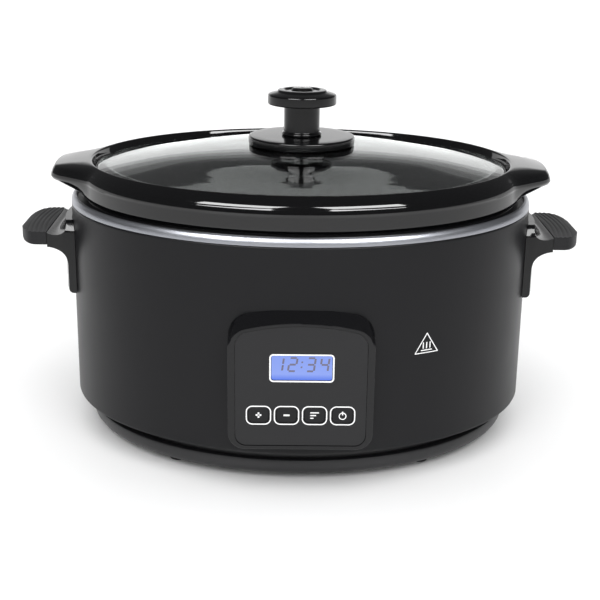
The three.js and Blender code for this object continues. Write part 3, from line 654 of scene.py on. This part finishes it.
# Moulded silicone with a thin hard coat: a satin black like the plate, a touch softer
key_surface = grain(plain_surface("moulded_key_silicone", "#131315", Roughness=0.46, IOR=1.46,
                                  Specular_IOR_Level=0.3),
                    0.3, 0.01, 0.46, spread=0.03)
for name, x in KEYS.items():
    key = rounded_plate(f"soft_key_{name}", 13.3, 10.1, 3, (x, KEY_FRONT, KEY_HEIGHT), 2.8)
    soften(key, 0.35, 3)
    collar = rounded_plate("collar", 15.7, 12.5, 3, (x, FACE_FRONT + 2.3, KEY_HEIGHT), 1)
    stem = rod("stem", 1.8, (x, FACE_FRONT + 2.5, KEY_HEIGHT), (x, FACE_FRONT + 5.9, KEY_HEIGHT))
    cut(key, collar, stem, operation="UNION")
    done(key, f"key_{name}", key_surface, [f"key_{name}"])


def printed_circle(name, radius, line, x, z, front):
    """A printed ring: a thin disc whose middle is cut away by a second one."""
    outer = rod(name, radius, (x, front - PRINT_THICKNESS, z), (x, front, z))
    cut(outer, rod("inner", radius - line, (x, front - 1, z), (x, front + 1, z)))
    return outer


signs = {
    "plus": [bar(KEYS["plus"], KEY_HEIGHT, 3.7, 1.15, KEY_FRONT),
             bar(KEYS["plus"], KEY_HEIGHT, 1.15, 3.7, KEY_FRONT)],
    "minus": [bar(KEYS["minus"], KEY_HEIGHT, 3.9, 1.15, KEY_FRONT)],
    "mode": [bar(KEYS["mode"] + shift, KEY_HEIGHT + rise, width, 0.75, KEY_FRONT)
             for rise, shift, width in ((1.9, 0, 5.6), (0, -0.9, 3.8), (-1.9, -1.7, 2.2))],
    "power": [printed_circle("ring", 2.5, 0.6, KEYS["power"], KEY_HEIGHT - 0.3, KEY_FRONT),
              bar(KEYS["power"], KEY_HEIGHT + 1.6, 0.75, 2.6, KEY_FRONT)],
}
for name, pieces in signs.items():
    done(joined(f"printed_sign_{name}", pieces), f"key_{name}", screen_print_white)

# ---- Mark on the wall ---------------------------------------------------------------------
# A plain triangle with three rising bars, printed white on the powder coat beside the panel. It
# stands for a hot surface and follows the wall's curve.
MARK_X = 82
MARK_LOW = 90
MARK_WIDTH = 16.5
MARK_HEIGHT = 14.3
MARK_LINE = 0.6
MARK_CORNER = 0.6
MARK_PLANE = -120
MARK_CORNERS = ((0, MARK_HEIGHT), (-MARK_WIDTH / 2, 0), (MARK_WIDTH / 2, 0))
MARK_BAR_LINE = 0.7

bpy.ops.object.select_all(action="DESELECT")
bpy.ops.mesh.primitive_circle_add(vertices=3, radius=1, fill_type="NGON", enter_editmode=True)
bpy.ops.object.mode_set(mode="OBJECT")
mark = bpy.context.object
for vertex, (x, z) in zip(mark.data.vertices, MARK_CORNERS):
    vertex.co = Vector((MARK_X + x, MARK_PLANE, MARK_LOW + z)) * MM
bpy.ops.object.mode_set(mode="EDIT")
bpy.ops.mesh.select_all(action="SELECT")
bpy.ops.mesh.bevel(offset=MARK_CORNER * MM, segments=3, affect="VERTICES")
bpy.ops.mesh.select_all(action="SELECT")
bpy.ops.mesh.inset(thickness=MARK_LINE * MM)
bpy.ops.mesh.delete(type="FACE")
bpy.ops.mesh.select_all(action="SELECT")
bpy.ops.mesh.subdivide(number_cuts=3)
bpy.ops.mesh.select_all(action="SELECT")
thickness = {"value": (0, -PRINT_THICKNESS * MM, 0)}
bpy.ops.mesh.extrude_region_move(TRANSFORM_OT_translate=thickness)
leave_edit()
mark_bars = [bar(MARK_X + x, MARK_LOW + 5.4, MARK_BAR_LINE, 4.4, MARK_PLANE, 0.3)
             for x in (-2.3, 0, 2.3)]
mark_bars.append(bar(MARK_X, MARK_LOW + 2.1, 7.6, MARK_BAR_LINE, MARK_PLANE, 0.3))
mark = joined("printed_heat_mark", [mark, *mark_bars])
for vertex in mark.data.vertices:
    across = vertex.co.x / SHELL_HIGH.x
    wall = SHELL_LOW.y * math.sqrt(1 - across * across)
    vertex.co.y += wall - MARK_PLANE * MM
done(mark, "housing", screen_print_white)

# ---- Handles ------------------------------------------------------------------------------
# Each handle is one gloss black phenolic moulding, held by two screws from inside the wall. Its
# plate follows the wall's curve and runs through a saddle into the grip. A soft pad with five
# grooves is pushed on the grip's tongue and makes the end that the fingers lift by.
PLATE_FACE = 170.4
PLATE_BOTTOM = 102
GRIP_HALF_WIDTH = 37
GRIP_ROOT = 140
GRIP_REACH = 201.8
GRIP_END = 15
GRIP_SLICES = 18
PAD_START = 179.3
PAD_TOP = 147.1
SADDLE_END = PAD_START - 0.3
SADDLE_LOW = 122
SADDLE_RISE = 14
TONGUE = ((PAD_START - 2, -29, 139.8), (192, 29, 142.8))
TONGUE_SLOT = ((PAD_START - 2, -29.3, 139.5), (192.3, 29.3, 143.1))
GROOVE_COUNT = 5
GROOVE_START = 3.4
GROOVE_PITCH = 3.2
GROOVE_DEPTH = 0.3
GROOVE_RADIUS = 2.0

# Compression-moulded phenolic from a polished mould: deep black with a hard, clear shine
gloss_phenolic = grain(plain_surface("gloss_phenolic", "#0b0b0c", Roughness=0.14, IOR=1.6,
                                     Specular_IOR_Level=0.28),
                       6.0, 0.02, 0.14, spread=0.03)
# Moulded thermoplastic elastomer: a dull, slightly lighter black that catches no sharp light
soft_touch_elastomer = grain(plain_surface("soft_touch_elastomer", "#131315", Roughness=0.45,
                                           IOR=1.48, Specular_IOR_Level=0.3),
                             0.4, 0.02, 0.5, spread=0.04)


def arc(centre, radius, start, end, steps=8, squash=1.0):
    """Points along an arc, its angles in degrees, its second radius squashed by a share."""
    angles = [math.radians(start + (end - start) * i / steps) for i in range(steps + 1)]
    return [(centre[0] + radius * math.cos(a), centre[1] + squash * radius * math.sin(a))
            for a in angles]


def side_block(name, outline, half_width, steps=1):
    """An outline in X and Z, extruded along Y to both sides in this many steps."""
    bpy.ops.object.select_all(action="DESELECT")
    bpy.ops.mesh.primitive_circle_add(vertices=len(outline), radius=1, fill_type="NGON")
    piece = bpy.context.object
    piece.name = name
    for vertex, (x, z) in zip(piece.data.vertices, outline):
        vertex.co = Vector((x, -half_width, z)) * MM
    bpy.ops.object.mode_set(mode="EDIT")
    bpy.ops.mesh.select_all(action="SELECT")
    for _ in range(steps):
        move = {"value": (0, 2 * half_width / steps * MM, 0)}
        bpy.ops.mesh.extrude_region_move(TRANSFORM_OT_translate=move)
    leave_edit()
    return piece


def turned_block(name, outline, low, high, swap):
    """A side block whose axes are swapped: swap gives the new place of a vertex."""
    piece = side_block(name, outline, (high - low) / 2)
    for vertex in piece.data.vertices:
        x, y, z = vertex.co
        vertex.co = swap(x, y + (high + low) / 2 * MM, z)
    bpy.ops.object.mode_set(mode="EDIT")
    leave_edit()
    return piece


def plan_block(bottom, top):
    """The grip seen from above: a block whose outer end is half an ellipse."""
    outline = [(GRIP_ROOT, -GRIP_HALF_WIDTH),
               *arc((GRIP_REACH - GRIP_END, 0), GRIP_END, -90, 90, 32, GRIP_HALF_WIDTH / GRIP_END),
               (GRIP_ROOT, GRIP_HALF_WIDTH)]
    return turned_block("plan", outline, bottom, top, lambda x, y, z: (x, z, y))


def front_block(outline, start, end):
    """A block along X whose outline is given in Y and Z."""
    return turned_block("facet", outline, start, end, lambda x, y, z: (y, x, z))


saddle = SADDLE_END - PLATE_FACE
grip_side = [
    (156, PLATE_BOTTOM), *arc((PLATE_FACE - 3, PLATE_BOTTOM + 3), 3, -90, 0, 4), (PLATE_FACE, 112),
    *arc((PLATE_FACE + saddle, SADDLE_LOW), saddle, 180, 90, 10, SADDLE_RISE / saddle),
    (SADDLE_END, 146.4),
    (177.8, 145.5), (176.2, 144.8), (174.6, 144.7), (173.2, 145.4), (172, 146.8), (171, 148.8),
    (170.2, 151.4), (169.8, 154), (156, 154),
]
grip = side_block("phenolic_handle_right", grip_side, GRIP_HALF_WIDTH, GRIP_SLICES)
for vertex in grip.data.vertices:
    x, y, z = vertex.co / MM
    bow = PLATE_FACE * (1 - math.sqrt(1 - (y / (PLATE_FACE - OVAL_DIFFERENCE / MM)) ** 2))
    vertex.co.x -= bow * (1 - smooth_step(x, PLATE_FACE, SADDLE_END)) * MM
cut(grip, plan_block(90, 160), operation="INTERSECT")
for side in (-1, 1):
    facet = [(-38, 146), (-37, 146.4), (-33.6, 152.4), (-28, 156), (-38, 156)]
    cut(grip, front_block([(-side * y, z) for y, z in facet], 140, 166))
soften(grip, 1.1, 4, 40)
cut(grip, block("tongue", *TONGUE), operation="UNION")
cut(grip, oval_plug(PLUG_REACH, 80, 160, 192))
for height in SCREW_HEIGHTS:
    cut(grip, rod("screw_hole", 1.7, (158, 0, height), (169, 0, height), 24))

pad_side = [
    (PAD_START, 137.6), (190, 137.7), (197.2, 138.3), (199.6, 139.4), (201.1, 141), (201.8, 142.9),
    (201.5, 144.6), (200.5, 145.7), (198.8, 146.4), (196.4, 146.8), (193, PAD_TOP),
    (PAD_START, PAD_TOP),
]
pad = side_block("soft_pad_right", pad_side, GRIP_HALF_WIDTH)
cut(pad, plan_block(130, 160), operation="INTERSECT")
soften(pad, 1.3, 4, 40)
for i in range(GROOVE_COUNT):
    bpy.ops.object.select_all(action="DESELECT")
    bpy.ops.mesh.primitive_torus_add(
        major_segments=240, minor_segments=32,
        major_radius=(PAD_START + GROOVE_START + i * GROOVE_PITCH) * MM,
        minor_radius=GROOVE_RADIUS * MM,
        location=(0, 0, (PAD_TOP + GROOVE_RADIUS - GROOVE_DEPTH) * MM))
    cut(pad, bpy.context.object)
cut(pad, block("slot", *TONGUE_SLOT))


def mirrored(piece, name):
    """A copy of a right piece for the left side, with its faces turned outwards again."""
    pick(piece)
    bpy.ops.object.duplicate()
    twin = bpy.context.object
    twin.name = name
    twin.scale = (-1, 1, 1)
    bpy.ops.object.transform_apply(location=True, rotation=True, scale=True)
    bpy.ops.object.mode_set(mode="EDIT")
    leave_edit()
    return twin


left_grip = mirrored(grip, "phenolic_handle_left")
left_pad = mirrored(pad, "soft_pad_left")
for piece, side in ((grip, "right"), (left_grip, "left")):
    done(piece, "housing", gloss_phenolic, [f"handle_{side}"], smooth=35)
for piece, side in ((pad, "right"), (left_pad, "left")):
    done(piece, "housing", soft_touch_elastomer, [f"handle_pad_{side}"],
         smooth=25)

# ---- Stoneware pot ------------------------------------------------------------------------
# A slip-cast oval crock in a thick gloss black glaze, its rim rolled and pulled out into a lug at
# each end. The glaze pools a little, so its mirror is slightly uneven.
LUG_REACH = 20.5
LUG_FLAT = 19
LUG_END = 51
LUG_ROOT = 140
LUG_UNDERSIDE = 174
LUG_LEVELS = (172, 183)
LUG_INNER = 151.2
LUG_BLEND = 3.6

black_glaze = grain(plain_surface("black_glaze", "#060607", Roughness=0.06, IOR=1.55),
                    14.0, 0.035, 0.06, spread=0.02)

POT_PROFILE = [
    (2, 38), (60, 38), (112, 38), (120, 38.2), (128, 39.4), (134, 42.6), (137.6, 47.6), (139.2, 54),
    (144.2, 150), (144.6, 168), (145.6, 171.3), (147.8, 172.8), (150.5, 173.1), (154.6, 173.1),
    (155.2, 172.3), (156.2, 171.7), (157.2, 171.8), (157.8, 172.6), (158, 173.8), (158, 175),
    (158, 178), (158, 182), (158, 183.1), (158.4, 183.5), (158.4, 184.2), (158.1, 186.1),
    (157.6, 187.1), (157.4, 187.9), (157.1, 188.7), (156.5, 189.6), (154.8, 191.7), (152.8, 193.6),
    (151.6, 194.5), (150.8, 194.8), (150.1, 194.5), (149.2, 193.6), (148.8, 190.6), (148, 188.6),
    (147.4, 187.5), (146.2, 187), (141.8, 187), (140.4, 186.4), (139.2, 184.8), (138.6, 182),
    (136.4, 150), (131.6, 60), (130.4, 53), (127, 47.8), (121.4, 44.9), (112, 44), (60, 44), (2, 44),
]


def half_length_at(x, y):
    """Half length of the oval that passes through a point, in millimetres, found by halving. It
    looks from where the ovals' difference is fixed to well outside the rim."""
    low, high = 118.0, 170.0
    for _ in range(24):
        middle = (low + high) / 2
        depth = middle - OVAL_DIFFERENCE / MM
        if (x / middle) ** 2 + (y / depth) ** 2 > 1:
            low = middle
        else:
            high = middle
    return (low + high) / 2


pot = stack("glazed_stoneware_pot", POT_PROFILE, segments=288, closed=False)
for vertex in pot.data.vertices:
    x, y, z = vertex.co / MM
    if z > LUG_UNDERSIDE and abs(y) < LUG_END and abs(x) > LUG_ROOT:
        outward = min(max((half_length_at(x, y) - LUG_INNER) / LUG_BLEND, 0.0), 1.0)
        under = smooth_step(z, *LUG_LEVELS)
        reach = LUG_REACH * (1 - smooth_step(abs(y), LUG_FLAT, LUG_END))
        vertex.co.x += math.copysign(reach * outward * under, x) * MM
pick(pot)
bpy.ops.object.mode_set(mode="EDIT")
leave_edit()
done(pot, "pot", black_glaze, ["stoneware_pot"], smooth=50)

# ---- Lid ----------------------------------------------------------------------------------
# A domed lid of toughened soda-lime glass, 4 mm thick, its edge ground round and left free. The
# glass is clear, so the dark pot shows through wherever no light is mirrored.
toughened_glass = plain_surface("toughened_glass", "#eef3f1", Roughness=0.02, IOR=1.52,
                                Transmission_Weight=1.0)
grain(toughened_glass, 30.0, 0.02, 0.02, spread=0.01)

LID_TOP = 206
LID_RISE = 16
LID_HALF_LENGTH = 147.2
LID_THICKNESS = 4
LID_STATIONS = (5, 12, 22, 34, 46, 58, 70, 80, 90, 98, 106, 114, 122, 130, 136, 140)


def dome(half_length):
    """Height of the glass's upper face at this half length, in millimetres."""
    return LID_TOP - LID_RISE * (half_length / LID_HALF_LENGTH) ** 2


lid = stack("toughened_glass_lid", [
    *[(half, dome(half) - LID_THICKNESS) for half in LID_STATIONS],
    (143, 187.7), (144.4, 187.3), (146.2, 187.3), (146.9, 187.8), (147.2, 188.7), (147.1, 189.5),
    (146.5, 190.2), (145.4, 190.5),
    *[(half, dome(half)) for half in reversed(LID_STATIONS)],
], segments=192)
done(lid, "lid", toughened_glass, ["glass_lid"], smooth=50)

# ---- Knob ---------------------------------------------------------------------------------
# A gloss black phenolic knob in three pieces: a wide flange on the glass, a stem with a small foot,
# and a stepped cap. One screw from below clamps them through the lid.
flange = stack("phenolic_knob_flange", [
    (3.4, 206.3), (20, 206.3), (30, 205.9), (34, 205.6), (37.6, 205.5), (38.1, 206), (38.1, 210),
    (37.7, 210.8), (36.6, 211.2), (30, 211.3), (3.4, 211.3),
], circle, 96)
done(flange, "lid", gloss_phenolic, ["knob_flange"], smooth=50)

stem = stack("phenolic_knob_stem", [
    (3.2, 211.6), (13.8, 211.6), (14.2, 212), (14.2, 213), (13.8, 213.5), (13.2, 213.8),
    (12.8, 214.4), (12.8, 232.4), (12.4, 233.2), (8.2, 233.2), (8, 233.4), (8, 236.2), (2, 236.2),
    (2, 231.2), (3.2, 231.2),
], circle, 72)
done(stem, "lid", gloss_phenolic, ["knob_stem"], smooth=50)

cap = stack("phenolic_knob_cap", [
    (9, 233.5), (23.6, 233.5), (24.2, 233.8), (24.5, 234.4), (24.5, 239.5), (24.2, 240.3),
    (23.5, 240.8), (21, 241.6), (18.2, 242.2), (17.6, 242.6), (17.4, 243.2), (16.8, 243.6),
    (13.6, 243.8), (12.9, 243.5), (12.4, 242.9), (11.8, 242.8), (8.2, 242.9), (7.6, 243.2),
    (7.3, 244.2), (6.6, 244.8), (4, 245), (1, 245), (1, 238.2), (9, 238.2),
], circle, 96)
done(cap, "lid", gloss_phenolic, ["knob_cap"], smooth=50)

# ---- Cord gland ---------------------------------------------------------------------------
# A moulded rubber bush for a mains lead, pushed through the back wall from outside. Its collar
# lies on the wall, and its bore is empty.
gland = stack("rubber_cord_gland", [
    (3.5, 130), (7.4, 130), (7.4, 139), (10.6, 139), (11, 139.3), (11, 140.7), (10.6, 141.4),
    (9.4, 142), (7.4, 142.4), (6.9, 143.4), (6.7, 144.2), (6.4, 145.6), (6, 146), (3.9, 146),
    (3.5, 145.6),
], circle, 48)
gland.rotation_euler = (-math.pi / 2, 0, 0)
gland.location = (0, 0, GLAND_HEIGHT * MM)
done(gland, "housing", moulded_rubber, ["cord_gland"])

# ---- Pieces inside the body ---------------------------------------------------------------
# The liner, heater, boards, wires and fixings keep their frame shapes. Each takes the finish of
# the stuff that it is made of.

# Deep-drawn aluminium: a pale metal, dull in cloudy patches
drawn_aluminium = grain(plain_surface("drawn_aluminium", "#a9abb0", Metallic=1.0, Roughness=0.4),
                        1.2, 0.01, 0.4, spread=0.08)
# Zinc plate on steel: brighter, with a fine grain
zinc_plate = grain(plain_surface("zinc_plate", "#9a9da3", Metallic=1.0, Roughness=0.38),
                   0.3, 0.005, 0.38, spread=0.08)
# Pressed mica paper: mottled tan flakes
pressed_mica = grain(plain_surface("pressed_mica", "#9b8c72", Roughness=0.7), 1.5, 0.05, 0.7,
                     colours=("#8a7a60", "#b3a58a"))
# Glass-filled epoxy: green lacquer with the weave just showing
glass_epoxy_board = grain(plain_surface("glass_epoxy_board", "#1f5a38", Roughness=0.4), 0.6, 0.01,
                          0.4, colours=("#1b5132", "#24633e"))
# Moulded silicone rubber: brick red and matt
silicone_rubber = grain(plain_surface("silicone_rubber", "#8a3a2a", Roughness=0.6), 0.5, 0.01, 0.6,
                        spread=0.05)
# Silicone drawn over a wire: off-white, softly dull
silicone_wire = grain(plain_surface("silicone_wire", "#e5e2da", Roughness=0.5), 0.4, 0.01, 0.5,
                      spread=0.05)
INSIDE_COLOURS = {"relay": "#2c5fa8", "transformer": "#d8b53c", "smoothing_capacitor": "#2b2b33",
                  "thermal_fuse": "#b9a06a"}
INSIDE_FINISHES = {
    drawn_aluminium: ["heating_liner"],
    zinc_plate: ["heat_shield", "liner_stud", "stud_washer", "stud_nut", "sensor_bracket",
                 "temperature_sensor", "knob_washer", "knob_screw"]
                + [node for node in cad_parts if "_screw_" in node],
    pressed_mica: ["heater_band"],
    glass_epoxy_board: ["control_board", "power_board", "display_module"],
    silicone_rubber: ["knob_gasket"],
    silicone_wire: ["ribbon_cable", "heater_lead_live", "heater_lead_neutral"],
    moulded_polypropylene: [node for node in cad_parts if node.startswith("switch_")],
}
for node, hex_value in INSIDE_COLOURS.items():
    casing = plain_surface(f"{node}_casing", hex_value, Roughness=0.45)
    INSIDE_FINISHES[grain(casing, 0.5, 0.008, 0.45, spread=0.05)] = [node]
for material, nodes in INSIDE_FINISHES.items():
    for node in nodes:
        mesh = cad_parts[node].data
        mesh.materials.clear()
        mesh.materials.append(material)
